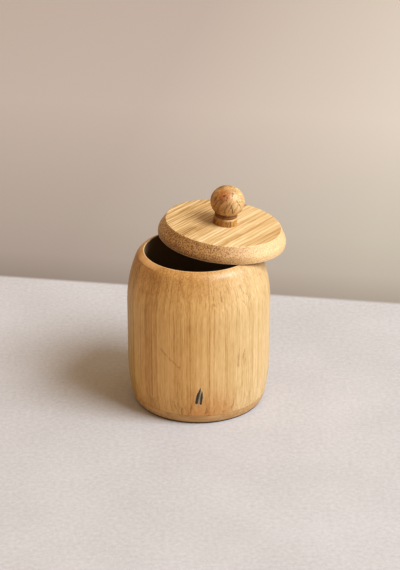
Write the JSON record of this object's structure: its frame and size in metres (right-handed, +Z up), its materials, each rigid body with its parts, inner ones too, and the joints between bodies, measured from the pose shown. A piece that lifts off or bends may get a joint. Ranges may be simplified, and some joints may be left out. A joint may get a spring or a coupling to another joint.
{
  "type": "candy jar",
  "caption": "Small round turned bamboo jar with a rolled rim and a glued base, its domed-edge lid lying askew on the mouth, with a ball knob screwed on.",
  "frame": {"origin": "centre of the foot, on the surface that the jar stands on, on the jar's own axis", "axes": "+Z up along the jar's axis; -Y is the front that the picture shows; +X to the right, which is the way the lid slopes down"},
  "size_m": [0.1109, 0.1106, 0.153],
  "materials": {
    "bamboo_wall": "satin, upright fibres",
    "bamboo_base": "satin, plain edge",
    "bamboo_lid": "satin, striped fibres",
    "wood_knob": "satin, patchy grain with fine cracks",
    "zinc_steel": "zinc-plated"
  },
  "bodies": {
    "root": {"jar_body": "bamboo_wall", "base_disc": "bamboo_base", "lid": "bamboo_lid", "knob": "wood_knob", "knob_screw": "zinc_steel"}
  },
  "joints": []
}
